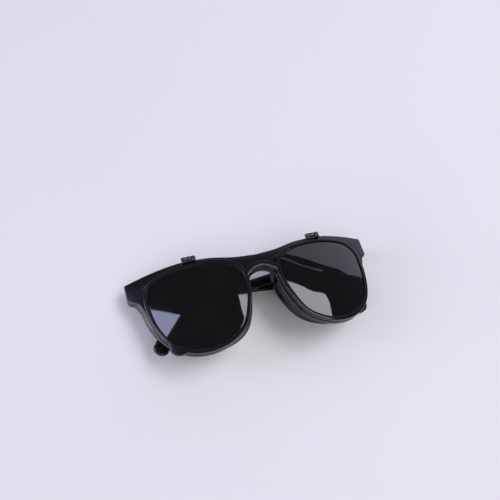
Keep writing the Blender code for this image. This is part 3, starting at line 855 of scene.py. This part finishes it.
@dataclass(frozen=True)
class Temple:
    """One temple with its leaf, and the leaf and screw on the front that it turns on.

    Lengths are in millimetres, about the hinge axis, with the temple opened out along -Z.
    """

    side: Side
    plastic: Finish
    metal: Finish
    length: float = 141.5
    heights: tuple[float, ...] = (9.4, 6.0, 6.0, 8.6)
    thicknesses: tuple[float, ...] = (3.8, 2.7, 2.7, 3.6)
    waist_share: float = 0.52
    slope: float = 6.5
    hook: float = 53.0
    bend_share: float = 0.698
    square_end: float = 8.0
    bend_run: float = 24.0
    inset: float = 5.6
    butt_gap: float = 0.15
    arm_thickness: float = 3.8
    fit_gap: float = 0.3
    middle: float = -3.67
    knuckle_radius: float = 1.4
    knuckle_height: float = 2.5
    screw_radius: float = 0.6
    head_radius: float = 1.1
    head_height: float = 0.6
    leaf_thickness: float = 1.1
    leaf_length: float = 5.6
    leaf_start: float = 2.0
    ear_end: float = 2.4
    ear_slack: float = 0.1
    leaf_slack: float = 0.2
    small_edge: float = 0.2
    screw_edge: float = 0.15
    screw_overhang: float = 0.2
    head_sink: float = 0.05
    tip_share: float = 0.55
    tip_steps: int = 14
    butt_round: float = 0.5
    butt_steps: int = 5
    stations: int = 110
    track_steps: int = 1200
    corner_share: float = 0.42
    corner_limit: float = 0.9
    corner_steps: int = 8
    edge_wear: float = 0.6
    metal_wear: float = 0.5

    @property
    def joint(self) -> dict:
        """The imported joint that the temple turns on."""
        return joint(f"temple_{self.side.word}_open")

    def folded(self, rows: np.ndarray) -> np.ndarray:
        """Turns points about the hinge axis into the folded pose, and into metres.

        Args:
            rows: Points in millimetres about the hinge axis, opened out, for the left side.

        Returns:
            The points in place for this side.
        """
        angle = math.radians(self.joint["range_deg"][1])
        x, y, z = np.moveaxis(rows, -1, 0)
        turned = np.stack([x * math.cos(angle) + z * math.sin(angle), y,
                           z * math.cos(angle) - x * math.sin(angle)], axis=-1)
        return self.placed(turned)

    def placed(self, rows: np.ndarray) -> np.ndarray:
        """Puts points about the left hinge axis in place for this side, in metres."""
        pivot = np.array(self.joint["pos_m"])
        return rows * MM * [self.side.value, 1, 1] + pivot

    @property
    def bend_start(self) -> float:
        """How far along the temple its bend starts."""
        return self.length * self.bend_share

    def track(self, at: np.ndarray) -> tuple[np.ndarray, np.ndarray, np.ndarray]:
        """The line that the temple follows, which slopes and then hooks down.

        Its heading eases from the slope to the hook over the bend, and its place is the running
        sum of the heading's cosine and sine.

        Args:
            at: Lengths along the line.

        Returns:
            How far back and how far down the line has come, and its heading.
        """
        fine = np.linspace(0, self.length, self.track_steps)
        bend = (self.bend_start, self.bend_start + self.bend_run)
        heading = np.radians(smooth_between(bend, (self.slope, self.hook), fine))
        step = fine[1] - fine[0]
        along = np.concatenate([[0], np.cumsum(np.cos(heading[:-1])) * step])
        drop = np.concatenate([[0], np.cumsum(np.sin(heading[:-1])) * step])
        back, down, turn = (np.interp(at, fine, values) for values in (along, drop, heading))
        return back, down, turn

    def temple_shell(self) -> Shell:
        """The temple: a round section carried along its track.

        The section draws in at the tip as an ellipse does, and by a quarter round at the butt. It
        stands square at the butt and leans with the track after a short way.
        """
        tip = self.heights[2] * self.tip_share
        tip_start = self.length - tip
        butt = self.butt_round
        s = np.concatenate([butt - butt * np.cos(quarter(self.butt_steps)),
                            np.linspace(butt, tip_start, self.stations)[1:],
                            tip_start + tip * np.sin(quarter(self.tip_steps))[1:]])
        back, down, turn = self.track(s)
        places = (0.0, self.length * self.waist_share, self.bend_start, self.length)
        end = np.clip((s - tip_start) / tip, 0, 1)
        shrink = np.sqrt(np.maximum(1 - end * end, 0))
        start = np.clip(1 - s / butt, 0, 1)
        ease_in = butt * (1 - np.sqrt(np.maximum(1 - start * start, 0)))
        lean = turn * np.minimum(s / self.square_end, 1)
        half_high = smooth_between(places, self.heights, s) * shrink / 2 - ease_in
        thick = smooth_between(places, self.thicknesses, s)
        half_wide = thick * (1 + shrink) / 4 - ease_in / 2
        edge = np.minimum(self.corner_share * 2 * half_wide, self.corner_limit * half_high)
        section = round_section(half_wide, half_high, edge, self.corner_steps)
        x = self.inset - thick[:, None] / 2 - section[..., 0]
        y = self.middle - down[:, None] + section[..., 1] * np.cos(lean)[:, None]
        z = -(self.butt_gap + back[:, None] + section[..., 1] * np.sin(lean)[:, None])
        wear = section_wear(self.corner_steps) * self.edge_wear
        return Shell.of_grid(self.folded(np.stack([x, y, z], axis=-1)), wear).facing_out(self.side)

    def bar(self, middle: float, length: float, radius: float, edge: float) -> np.ndarray:
        """A round bar on the hinge axis, with its middle at a place along Y."""
        return turned_bar((0, middle, 0), 1, length / 2, radius, edge)

    def flat(self, middle: float, height: float, near: float, far: float) -> np.ndarray:
        """A leaf's flat on the inner side of the arm or the temple, between two places along Z."""
        x = self.inset - self.arm_thickness - self.fit_gap - self.leaf_thickness / 2
        return rounded_block((x, middle, (near + far) / 2),
                             (self.leaf_thickness / 2, height / 2, abs(far - near) / 2), self.small_edge)

    def ear(self, number: int, end: float) -> list[np.ndarray]:
        """A knuckle and the flat that carries it: -1 and 1 are the temple's, 0 is the front's."""
        middle = self.middle + number * (self.knuckle_height + self.fit_gap)
        return [self.bar(middle, self.knuckle_height, self.knuckle_radius, self.small_edge),
                self.flat(middle, self.knuckle_height - self.ear_slack, 0.0, end)]

    def build(self) -> None:
        """Makes the temple, the two leaves and the screw."""
        word = self.side.word
        body = f"temple_{word}"
        make_piece(f"temple_arm_{word}", self.temple_shell(), self.plastic, body, [f"temple_{word}"])
        stack = 3 * self.knuckle_height + 2 * self.fit_gap
        plate = self.flat(self.middle, stack - self.leaf_slack, -self.leaf_start, -self.leaf_length)
        moving = [*self.ear(-1, -self.ear_end), *self.ear(1, -self.ear_end), plate]
        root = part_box(f"front_leaf_{word}")[1].z / MM - self.joint["pos_m"][2] / MM
        half = stack / 2 + self.screw_overhang
        head = self.middle + half + self.head_height / 2 - self.head_sink
        screw = [self.bar(self.middle, 2 * half, self.screw_radius, self.screw_edge),
                 self.bar(head, self.head_height, self.head_radius, self.small_edge)]
        for name, node, rides, put, patches in (
                ("temple_hinge_leaf", "temple_leaf", body, self.folded, moving),
                ("front_hinge_leaf", "front_leaf", "root", self.placed, self.ear(0, root)),
                ("hinge_screw_turned", "hinge_screw", "root", self.placed, screw)):
            shell = gathered([put(rows) for rows in patches], self.metal_wear, self.side)
            make_piece(f"{name}_{word}", shell, self.metal, rides, [f"{node}_{word}"])


@dataclass(frozen=True)
class FlipHinge:
    """One flip hinge: a fixed knuckle on a foot, a yoke of two knuckles on a bar, and a pin."""

    layout: Layout
    side: Side
    finish: Finish
    across: float = 36.8
    axis_depth: float = 4.5
    knuckle_radius: float = 1.35
    knuckle_width: float = 2.3
    pin_radius: float = 0.6
    rim_width: float = 2.1
    web_depth: float = 1.8
    web_shift: float = 0.1
    web_overlap: float = 0.4
    narrower: float = 0.05
    foot_drop: float = 0.2
    yoke_lead: float = 0.1
    knuckle_edge: float = 0.22
    foot_edge: float = 0.18
    yoke_edge: float = 0.16
    web_edge: float = 0.15
    pin_edge: float = 0.25
    pin_columns: int = 24
    wear: float = 0.6

    def placed(self, rows: np.ndarray) -> np.ndarray:
        """Moves points from the left hinge's own axis to this side's place, in metres."""
        layout = self.layout
        pivot = np.array([self.across, layout.brow_line + layout.flip_axis_rise,
                          layout.crest - self.axis_depth])
        return (rows + pivot) * MM * [self.side.value, 1, 1]

    def behind(self, x: float) -> float:
        """Place along Z, from the axis, of the main front's face at a place across."""
        layout = self.layout
        return self.axis_depth - layout.front_depth - x * x / (2 * layout.wrap_radius)

    def knuckle(self, x: float) -> np.ndarray:
        """One knuckle on the axis."""
        return turned_bar((x, 0, 0), 0, self.knuckle_width / 2, self.knuckle_radius, self.knuckle_edge)

    def base(self) -> list[np.ndarray]:
        """The fixed knuckle and the foot under it, from the axis back to the main front."""
        back = self.behind(self.across - self.knuckle_width / 2) + self.layout.fit_gap
        half = (self.knuckle_width / 2 - self.narrower, self.knuckle_radius - self.foot_drop, -back / 2)
        return [self.knuckle(0.0), rounded_block((0, 0, back / 2), half, self.foot_edge)]

    def yoke(self, half: float) -> list[np.ndarray]:
        """The bar on the rim, and the two moving knuckles with the webs that carry them."""
        gap = self.layout.fit_gap
        rim_top = self.layout.lens_height / 2 - self.layout.lens_drop + self.rim_width
        low = rim_top + gap - self.layout.flip_axis_rise
        high = -self.knuckle_radius - gap
        front = self.knuckle_radius + self.yoke_lead
        rear = self.behind(self.across - half) + 2 * gap
        patches = [rounded_block((0, (low + high) / 2, (front + rear) / 2),
                                 (half, (high - low) / 2, (front - rear) / 2), self.yoke_edge)]
        drop = self.knuckle_radius + gap + self.web_overlap
        web = (self.knuckle_width / 2 - self.narrower, drop / 2, self.web_depth / 2)
        for x in (-self.knuckle_width - gap, self.knuckle_width + gap):
            patches += [self.knuckle(x), rounded_block((x, -drop / 2, self.web_shift), web, self.web_edge)]
        return patches

    def build(self) -> None:
        """Makes the base, the yoke and the pin."""
        gap = self.layout.fit_gap
        half = (3 * self.knuckle_width + 2 * gap) / 2
        pin = turned_bar((0, 0, 0), 0, half + gap, self.pin_radius, self.pin_edge, self.pin_columns)
        for name, node, body, patches in (("flip_knuckle_fixed", "flip_hinge_base", "root", self.base()),
                                          ("flip_yoke", "flip_hinge_yoke", "flip", self.yoke(half)),
                                          ("flip_pin", "flip_hinge_pin", "root", [pin])):
            shell = gathered([self.placed(rows) for rows in patches], self.wear, self.side)
            make_piece(f"{name}_{self.side.word}", shell, self.finish, body, [f"{node}_{self.side.word}"])


# ---- finishes ----------------------------------------------------------------------------
SCRATCH_TURNS = ((0.3, 0.1, 0.5), (0.1, -0.2, 2.1), (-0.2, 0.15, 1.2))
SCRATCH_STRETCH = (0.04, 1.0, 1.0)
FINER_EACH_TIME = 0.35


class Nodes:
    """A material's nodes, with short ways to add and join them."""

    def __init__(self, finish: Finish) -> None:
        """Starts the finish's material with a Principled shader."""
        self.material = bpy.data.materials.new(type(finish).__name__)
        self.material.use_nodes = True
        self.tree = self.material.node_tree
        self.shader = self.tree.nodes["Principled BSDF"]
        self.place = self.tree.nodes.new("ShaderNodeTexCoord").outputs["Object"]

    def put(self, socket: Socket, value: Socket | Colour | float) -> None:
        """Joins another node's output to a socket, or sets the socket to a colour or a number."""
        if isinstance(value, Socket):
            self.tree.links.new(value, socket)
        elif socket.type == "RGBA":
            socket.default_value = (*value, 1.0)
        else:
            socket.default_value = value

    def add(self, kind: str, inputs: dict[str, object], **settings: object) -> bpy.types.Node:
        """Adds a node.

        Args:
            kind: The node's type.
            inputs: A socket to join or a value to set for each of its inputs, by name.
            settings: Values for the node's own settings.

        Returns:
            The node.
        """
        node = self.tree.nodes.new(kind)
        for name, value in settings.items():
            setattr(node, name, value)
        for name, value in inputs.items():
            self.put(node.inputs[name], value)
        return node

    def noise(self, scale: float, detail: float = 4.0, stretch: Sequence[float] = (1, 1, 1),
              turn: Sequence[float] = (0, 0, 0), roughness: float = 0.55) -> Socket:
        """Noise on the piece's own coordinates.

        Args:
            scale: Waves a metre.
            detail: How many finer layers it has.
            stretch: Scale along each axis, for streaks.
            turn: Turn of the pattern about each axis, in radians.
            roughness: How strong its finer layers are.

        Returns:
            The noise's value, from 0 to 1.
        """
        mapped = self.add("ShaderNodeMapping", {"Vector": self.place, "Scale": stretch, "Rotation": turn})
        return self.add("ShaderNodeTexNoise", {"Vector": mapped.outputs[0], "Scale": scale, "Detail": detail,
                                               "Roughness": roughness}).outputs["Fac"]

    def spread(self, value: Socket, low: float, high: float, to_low: float, to_high: float) -> Socket:
        """Maps a value from one range to another, held at both ends."""
        return self.add("ShaderNodeMapRange", {"Value": value, "From Min": low, "From Max": high,
                                               "To Min": to_low, "To Max": to_high}).outputs["Result"]

    def share(self, value: Socket, most: float) -> Socket:
        """A value from 0 to 1 brought down to so much at most."""
        return self.spread(value, 0.0, 1.0, 0.0, most)

    def maths(self, how: str, *terms: Socket | float) -> Socket:
        """Joins values by one of the Math node's operations."""
        node = self.add("ShaderNodeMath", {}, operation=how)
        for socket, term in zip(node.inputs, terms):
            self.put(socket, term)
        return node.outputs[0]

    def mix(self, share: Socket, a: Socket | Colour, b: Socket | Colour) -> Socket:
        """Mixes two colours, each given as a colour or a socket, by a share."""
        node = self.add("ShaderNodeMix", {"Factor": share}, data_type="RGBA")
        self.put(node.inputs[6], a)
        self.put(node.inputs[7], b)
        return node.outputs[2]

    def scratches(self, fineness: float, rare: float) -> Socket:
        """Thin scratches in three directions.

        Each set is noise drawn out along one way and kept only near its middle value, finer than
        the set before it.

        Args:
            fineness: Scratches a metre.
            rare: How narrow each scratch is, as a share of the noise.

        Returns:
            1 in a scratch and 0 beside it.
        """
        sets = []
        for k, turn in enumerate(SCRATCH_TURNS):
            lines = self.noise(fineness * (1 + FINER_EACH_TIME * k), 2.0, SCRATCH_STRETCH, turn)
            sets.append(self.maths("COMPARE", lines, 0.5, rare))
        return self.maths("MAXIMUM", self.maths("MAXIMUM", sets[0], sets[1]), sets[2])

    def rubbed(self, scale: float, low: float, high: float, most: float) -> Socket:
        """How rubbed each point is: the mesh's own wear, broken up by noise.

        Args:
            scale: Waves a metre of the noise.
            low: Noise below this leaves no wear.
            high: Noise above this leaves the most.
            most: The share of the wear that is left at most.

        Returns:
            The rub, from 0 to 1.
        """
        wear = self.add("ShaderNodeAttribute", {}, attribute_name=WEAR).outputs["Fac"]
        return self.maths("MULTIPLY", wear, self.spread(self.noise(scale), low, high, 0.0, most))

    def bump(self, height: Socket, strength: float, distance: float) -> None:
        """Raises the surface by a height, of so many metres at full strength."""
        bump = self.add("ShaderNodeBump", {"Height": height, "Strength": strength, "Distance": distance})
        self.feed({"Normal": bump.outputs["Normal"]})

    def feed(self, inputs: dict[str, object]) -> None:
        """Joins values to the shader's inputs, or sets what is the same all over on the shader itself."""
        for name, value in inputs.items():
            self.put(self.shader.inputs[name], value)


@dataclass(frozen=True)
class MouldedPlastic(Finish):
    """Black injection-moulded plastic: satin gloss, faint flow marks, fine scratches, rubbed edges."""

    slot = "frame_plastic"
    dark: Colour = (0.0052, 0.0052, 0.0062)
    light: Colour = (0.0085, 0.0085, 0.0100)
    rubbed: Colour = (0.035, 0.035, 0.039)
    smooth: float = 0.09
    rough: float = 0.17
    scratch_show: float = 0.08
    scratch_dull: float = 0.25

    def build(self) -> bpy.types.Material:
        """The plastic as a material."""
        nodes = Nodes(self)
        flow = nodes.noise(scale=55.0, detail=5.0, stretch=(1.0, 2.2, 1.0))
        grain = nodes.noise(scale=2600.0, detail=3.0)
        scratch = nodes.scratches(fineness=420.0, rare=0.004)
        colour = nodes.mix(nodes.spread(flow, 0.3, 0.7, 0.0, 1.0), self.dark, self.light)
        colour = nodes.mix(nodes.share(scratch, self.scratch_show), colour, self.rubbed)
        dulled = nodes.maths("ADD", flow, nodes.share(scratch, self.scratch_dull))
        rub = nodes.rubbed(scale=380.0, low=0.45, high=0.70, most=0.45)
        nodes.feed({"Base Color": nodes.mix(rub, colour, self.rubbed),
                    "Roughness": nodes.spread(dulled, 0.3, 0.9, self.smooth, self.rough),
                    "Specular IOR Level": 0.30, "IOR": 1.5})
        raised = nodes.maths("ADD", nodes.share(grain, 0.5), nodes.share(scratch, -1.0))
        nodes.bump(raised, strength=0.05, distance=0.00003)
        return nodes.material


@dataclass(frozen=True)
class DarkFilter(Finish):
    """Polished near-black filter glass with faint smears and dust."""

    slot = "dark_filter"
    deep: Colour = (0.0018, 0.0018, 0.0021)
    veiled: Colour = (0.0034, 0.0034, 0.0038)
    dust: Colour = (0.10, 0.10, 0.105)
    polished: float = 0.02
    smeared: float = 0.045

    def build(self) -> bpy.types.Material:
        """The filter as a material."""
        nodes = Nodes(self)
        smear = nodes.noise(scale=70.0, detail=5.0, stretch=(1.0, 0.5, 1.0), turn=(0.0, 0.0, 0.6))
        specks = nodes.spread(nodes.noise(scale=900.0, detail=1.0), 0.80, 0.84, 0.0, 1.0)
        scratch = nodes.scratches(fineness=260.0, rare=0.0015)
        colour = nodes.mix(nodes.spread(smear, 0.35, 0.75, 0.0, 1.0), self.deep, self.veiled)
        colour = nodes.mix(nodes.share(scratch, 0.02), colour, self.dust)
        nodes.feed({"Base Color": nodes.mix(specks, colour, self.dust),
                    "Roughness": nodes.spread(smear, 0.3, 0.8, self.polished, self.smeared),
                    "IOR": 1.54, "Specular IOR Level": 0.5})
        nodes.bump(scratch, strength=0.01, distance=0.00001)
        return nodes.material


@dataclass(frozen=True)
class ClearLens(Finish):
    """Polished clear polycarbonate with handling smears."""

    slot = "clear_lens"
    clean: Colour = (0.93, 0.95, 0.95)
    handled: Colour = (0.86, 0.89, 0.90)
    polished: float = 0.02
    smeared: float = 0.10

    def build(self) -> bpy.types.Material:
        """The clear lens as a material."""
        nodes = Nodes(self)
        smear = nodes.noise(scale=80.0, detail=5.0)
        dulled = nodes.maths("ADD", smear, nodes.scratches(fineness=300.0, rare=0.004))
        tint = nodes.mix(nodes.spread(smear, 0.3, 0.8, 0.0, 1.0), self.clean, self.handled)
        nodes.feed({"Base Color": tint,
                    "Roughness": nodes.spread(dulled, 0.3, 1.6, self.polished, self.smeared),
                    "IOR": 1.58, "Transmission Weight": 1.0})
        return nodes.material


@dataclass(frozen=True)
class HingeMetal(Finish):
    """Blackened steel, drawn along its length and worn bright on its edges."""

    slot = "hinge_metal"
    sharp = 35.0
    blackened: Colour = (0.020, 0.020, 0.022)
    bright: Colour = (0.26, 0.26, 0.27)
    smooth: float = 0.24
    rough: float = 0.44

    def build(self) -> bpy.types.Material:
        """The metal as a material."""
        nodes = Nodes(self)
        drawn = nodes.noise(scale=700.0, stretch=(6.0, 1.0, 1.0))
        base = nodes.mix(nodes.spread(drawn, 0.3, 0.7, 0.0, 0.12), self.blackened, self.bright)
        rub = nodes.rubbed(scale=900.0, low=0.50, high=0.68, most=1.0)
        nodes.feed({"Base Color": nodes.mix(rub, base, self.bright),
                    "Roughness": nodes.spread(drawn, 0.3, 0.7, self.smooth, self.rough),
                    "Metallic": 1.0})
        nodes.bump(drawn, strength=0.15, distance=0.00003)
        return nodes.material


@dataclass(frozen=True)
class TableTop(Finish):
    """A smooth pale lilac board with a barely uneven surface."""

    pale: Colour = (0.752, 0.723, 0.737)
    paler: Colour = (0.776, 0.747, 0.761)

    def build(self) -> bpy.types.Material:
        """The board as a material."""
        nodes = Nodes(self)
        grain = nodes.noise(scale=1500.0, detail=3.0)
        nodes.feed({"Base Color": nodes.mix(nodes.noise(scale=3.0), self.pale, self.paler),
                    "Roughness": nodes.spread(grain, 0.2, 0.8, 0.60, 0.75),
                    "Specular IOR Level": 0.25})
        nodes.bump(grain, strength=0.05, distance=0.00004)
        return nodes.material


# ---- studio ------------------------------------------------------------------------------
BACKDROP_COLOUR = (0.92, 0.92, 1.12)


def stage_sheet(name: str, points: Sequence[Sequence[float]], faces: Sequence[Sequence[int]],
                material: bpy.types.Material) -> bpy.types.Object:
    """Puts a flat sheet into the studio, as part of the set and not of the goggles."""
    mesh = bpy.data.meshes.new(name)
    mesh.from_pydata(points, [], faces)
    mesh.materials.append(material)
    sheet = bpy.data.objects.new(name, mesh)
    bpy.context.scene.collection.objects.link(sheet)
    return sheet


@dataclass(frozen=True)
class Softbox:
    """A glowing flat sheet with straight edges, which lights the piece and shows in the lenses."""

    name: str
    corners: tuple[Point, ...]
    colour: Colour
    strength: float

    def build(self) -> None:
        """Makes the sheet, unseen by the camera itself."""
        material = bpy.data.materials.new(self.name)
        material.use_nodes = True
        tree = material.node_tree
        tree.nodes.clear()
        glow = tree.nodes.new("ShaderNodeEmission")
        glow.inputs["Color"].default_value = (*self.colour, 1.0)
        glow.inputs["Strength"].default_value = self.strength
        output = tree.nodes.new("ShaderNodeOutputMaterial")
        tree.links.new(glow.outputs[0], output.inputs["Surface"])
        sheet = stage_sheet(self.name, self.corners, [range(len(self.corners))], material)
        sheet.visible_camera = False


@dataclass(frozen=True)
class Studio:
    """The table, the softboxes, the dim room and the camera."""

    table_half: float = 4.0
    table_cells: int = 8
    room: Colour = (0.10, 0.10, 0.11)
    focal_length: float = 39.6
    clip_start: float = 0.01
    camera_place: Point = (-0.0849, -0.1069, 0.2932)
    camera_forward: Point = (0.2697, 0.4249, -0.8641)
    camera_up: Point = (0.1850, 0.8578, 0.4796)
    softboxes: tuple[Softbox, ...] = (
        Softbox("front_light", ((-1.0, -2.2, 1.6), (1.0, -2.2, 1.6), (1.0, -0.7, 2.0), (-1.0, -0.7, 2.0)),
                (1.0, 0.99, 1.0), 1.7),
        Softbox("overhead_softbox", ((0.33, 0.50, 1.5), (1.32, 0.435, 1.5), (1.36, 0.32, 1.5),
                                     (1.15, -0.22, 1.5), (0.90, -0.70, 1.5), (0.40, -0.45, 1.5)),
                (0.97, 1.0, 1.06), 6.2),
        Softbox("backdrop", ((-0.6, 1.0, 0.0), (0.75, 1.0, 0.0), (0.75, 1.0, 1.28), (-0.6, 1.0, 1.1)),
                BACKDROP_COLOUR, 0.6),
        Softbox("backdrop_right", ((0.75, 1.0, 0.0), (3.9, 1.0, 0.0), (2.9, 1.0, 1.1), (2.5, 1.0, 1.28),
                                   (1.6, 1.0, 1.36), (0.75, 1.0, 1.28)), BACKDROP_COLOUR, 1.05),
        Softbox("backdrop_rail", ((0.23, 1.0, 1.28), (0.7, 1.0, 1.48), (1.13, 1.0, 1.65), (1.84, 1.0, 1.54),
                                  (1.84, 1.0, 1.66), (1.13, 1.0, 1.78), (0.7, 1.0, 1.62), (0.2, 1.0, 1.37)),
                BACKDROP_COLOUR, 0.75),
        Softbox("window", ((-0.80, 0.47, 1.2), (-3.12, 1.33, 1.2), (-3.88, 0.16, 1.2), (-2.10, 0.20, 1.2)),
                (0.78, 0.83, 1.24), 6.0),
        Softbox("left_light", ((-1.6, -1.2, 0.1), (-1.6, 0.7, 0.1), (-1.6, 0.7, 0.62), (-1.6, -1.2, 0.62)),
                (0.98, 0.98, 1.04), 7.0),
    )

    def build_table(self) -> None:
        """The table top, with a little detail in its mesh so that it can be shaded by place."""
        wide = self.table_cells + 1
        reach = np.linspace(-self.table_half, self.table_half, wide)
        x, y = np.meshgrid(reach, reach)
        points = np.stack([x, y, 0 * x], axis=-1).reshape(-1, 3)
        cell = np.arange(self.table_cells)
        start = (cell[:, None] * wide + cell).reshape(-1)
        faces = np.stack([start, start + 1, start + wide + 1, start + wide], axis=1)
        stage_sheet("table_top", points.tolist(), faces.tolist(), TableTop().material())

    def build_room(self) -> None:
        """The even glow of the room."""
        world = bpy.data.worlds.new("room")
        world.use_nodes = True
        world.node_tree.nodes["Background"].inputs["Color"].default_value = (*self.room, 1.0)
        bpy.context.scene.world = world

    def build_camera(self) -> None:
        """The camera, turned so that it looks forward with the given way up."""
        data = bpy.data.cameras.new("camera")
        data.lens = self.focal_length
        data.clip_start = self.clip_start
        camera = bpy.data.objects.new("camera", data)
        back = -np.array(self.camera_forward)
        across = np.cross(self.camera_up, back)
        matrix = np.eye(4)
        matrix[:3, :3] = np.stack([across, self.camera_up, back], axis=1)
        matrix[:3, 3] = self.camera_place
        camera.matrix_world = matrix.T.tolist()
        bpy.context.scene.collection.objects.link(camera)
        bpy.context.scene.camera = camera

    def build(self) -> None:
        """Makes everything around the piece."""
        self.build_table()
        self.build_room()
        for softbox in self.softboxes:
            softbox.build()
        self.build_camera()
        bpy.context.scene.view_settings.view_transform = "Standard"


def main() -> None:
    """Builds the goggles and the studio, in order."""
    logging.basicConfig(level=logging.INFO, format="%(name)s: %(message)s")
    layout = Layout()
    plastic = MouldedPlastic()
    metal = HingeMetal()
    MainFront(layout, plastic).build()
    LensPair(layout, ClearLens(), "clear_lens", "root", front=4.15, thickness=1.6, reach=0.6).build()
    FlipFront(layout, plastic).build()
    LensPair(layout, DarkFilter(), "dark_lens", "flip", front=0.75, thickness=1.1, reach=0.3).build()
    for side in Side:
        FlipHinge(layout, side, metal).build()
        Temple(side, plastic, metal).build()
    Studio().build()


if __name__ == "__main__":
    main()
